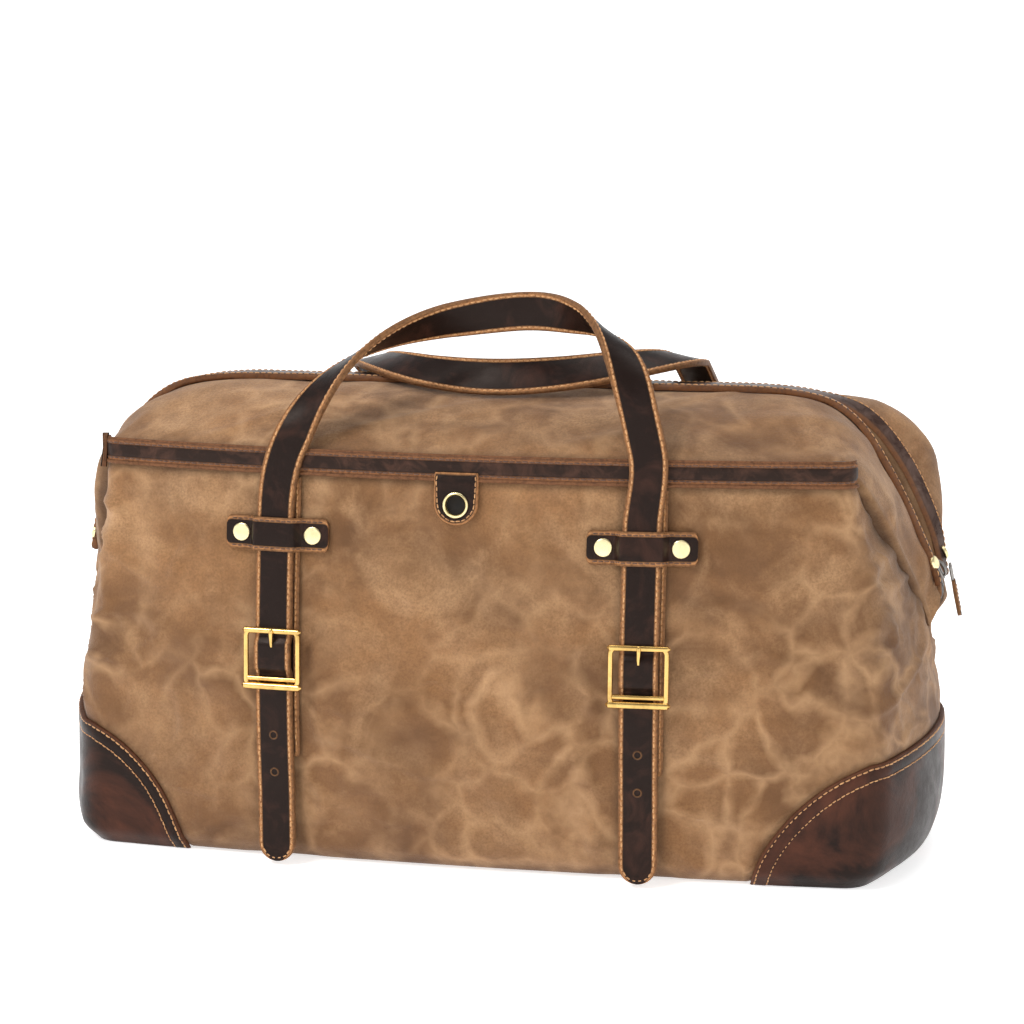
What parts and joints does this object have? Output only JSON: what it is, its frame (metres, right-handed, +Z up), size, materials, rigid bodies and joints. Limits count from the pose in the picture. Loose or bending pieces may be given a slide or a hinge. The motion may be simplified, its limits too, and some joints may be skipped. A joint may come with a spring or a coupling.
{
  "type": "duffel bag",
  "caption": "Soft canvas travel duffel with leather end guards, riveted straps with fixed-tongue buckles, two swinging loop handles and a zipped gable top.",
  "frame": {"origin": "on the ground under the middle of the base", "axes": "+X along the bag towards the zip pull's end, -Y out of the front, +Z up"},
  "size_m": [0.6195, 0.2788, 0.3803],
  "materials": {
    "canvas": "waxed cotton canvas, dry hand, mottled with pale wax creases",
    "lining_cloth": "plain woven cotton lining",
    "stiffener": "stiff base board",
    "guard_leather": "waxed pull-up leather, mottled dark and reddish brown",
    "zip_cloth": "woven zip tape",
    "zip_metal": "aged nickel",
    "leather": "dark brown waxed leather, raw burnished edges, tan stitching",
    "brass": "polished antique brass"
  },
  "bodies": {
    "bag": {"back_band": "leather", "back_panel": "canvas", "base_board": "stiffener", "bottom_panel": "canvas", "buckle_frame_back_left": "brass", "buckle_frame_back_right": "brass", "buckle_frame_front_left": "brass", "buckle_frame_front_right": "brass", "buckle_tongue_back_left": "brass", "buckle_tongue_back_right": "brass", "buckle_tongue_front_left": "brass", "buckle_tongue_front_right": "brass", "end_guard_left": "guard_leather", "end_guard_right": "guard_leather", "front_band": "leather", "front_panel": "canvas", "keeper_plate_back_left": "leather", "keeper_plate_back_right": "leather", "keeper_plate_front_left": "leather", "keeper_plate_front_right": "leather", "keeper_rivets_back": "brass", "keeper_rivets_front": "brass", "lining": "lining_cloth", "strap_backing_back_left": "leather", "strap_backing_back_right": "leather", "strap_backing_front_left": "leather", "strap_backing_front_right": "leather", "strap_upper_back_left": "leather", "strap_upper_back_right": "leather", "strap_upper_front_left": "leather", "strap_upper_front_right": "leather", "top_panel_back": "canvas", "top_panel_front": "canvas", "wing_rivets": "brass", "zip_binding_back": "leather", "zip_binding_front": "leather", "zip_chain": "zip_metal", "zip_end_tab_left": "leather", "zip_end_tab_right": "leather", "zip_stops": "zip_metal", "zip_tape_back": "zip_cloth", "zip_tape_front": "zip_cloth"},
    "front_handle": {"handle_front": "leather"},
    "back_handle": {"handle_back": "leather"},
    "tail_front_left": {"strap_tail_front_left": "leather"},
    "tail_front_right": {"strap_tail_front_right": "leather"},
    "tail_back_left": {"strap_tail_back_left": "leather"},
    "tail_back_right": {"strap_tail_back_right": "leather"},
    "lock_flap": {"lock_tab": "leather", "lock_eyelet": "brass"},
    "slider": {"zip_slider": "zip_metal"},
    "pull": {"zip_pull": "zip_metal", "zip_pull_tab": "leather"}
  },
  "joints": [
    {"name": "handle_front_swing", "type": "hinge", "parent": "bag", "child": "front_handle", "pos_m": [0, -0.11947, 0.284], "axis": [1, 0, 0], "range_deg": [0, 160]},
    {"name": "handle_back_swing", "type": "hinge", "parent": "bag", "child": "back_handle", "pos_m": [0, 0.11947, 0.284], "axis": [1, 0, 0], "range_deg": [-220, 0]},
    {"name": "tail_swing_front_left", "type": "hinge", "parent": "bag", "child": "tail_front_left", "pos_m": [-0.122, -0.12948, 0.119], "axis": [-0.9958, 0.0917, 0], "range_deg": [0, 45]},
    {"name": "tail_swing_front_right", "type": "hinge", "parent": "bag", "child": "tail_front_right", "pos_m": [0.122, -0.12948, 0.119], "axis": [-0.9958, -0.0917, 0], "range_deg": [0, 45]},
    {"name": "tail_swing_back_left", "type": "hinge", "parent": "bag", "child": "tail_back_left", "pos_m": [-0.122, 0.12948, 0.119], "axis": [0.9958, 0.0917, 0], "range_deg": [0, 45]},
    {"name": "tail_swing_back_right", "type": "hinge", "parent": "bag", "child": "tail_back_right", "pos_m": [0.122, 0.12948, 0.119], "axis": [0.9958, -0.0917, 0], "range_deg": [0, 45]},
    {"name": "lock_tab_lift", "type": "hinge", "parent": "bag", "child": "lock_flap", "pos_m": [0, -0.12259, 0.26], "axis": [-1, 0, 0], "range_deg": [0, 70]},
    {"name": "zip_slide", "type": "slide", "parent": "bag", "child": "slider", "axis": [-0.4517, 0, 0.8922], "range_m": [0, 0.065]},
    {"name": "zip_pull_swing", "type": "hinge", "parent": "slider", "child": "pull", "pos_m": [0.30835, 0, 0.19538], "axis": [0, -1, 0], "range_deg": [0, 90]}
  ]
}
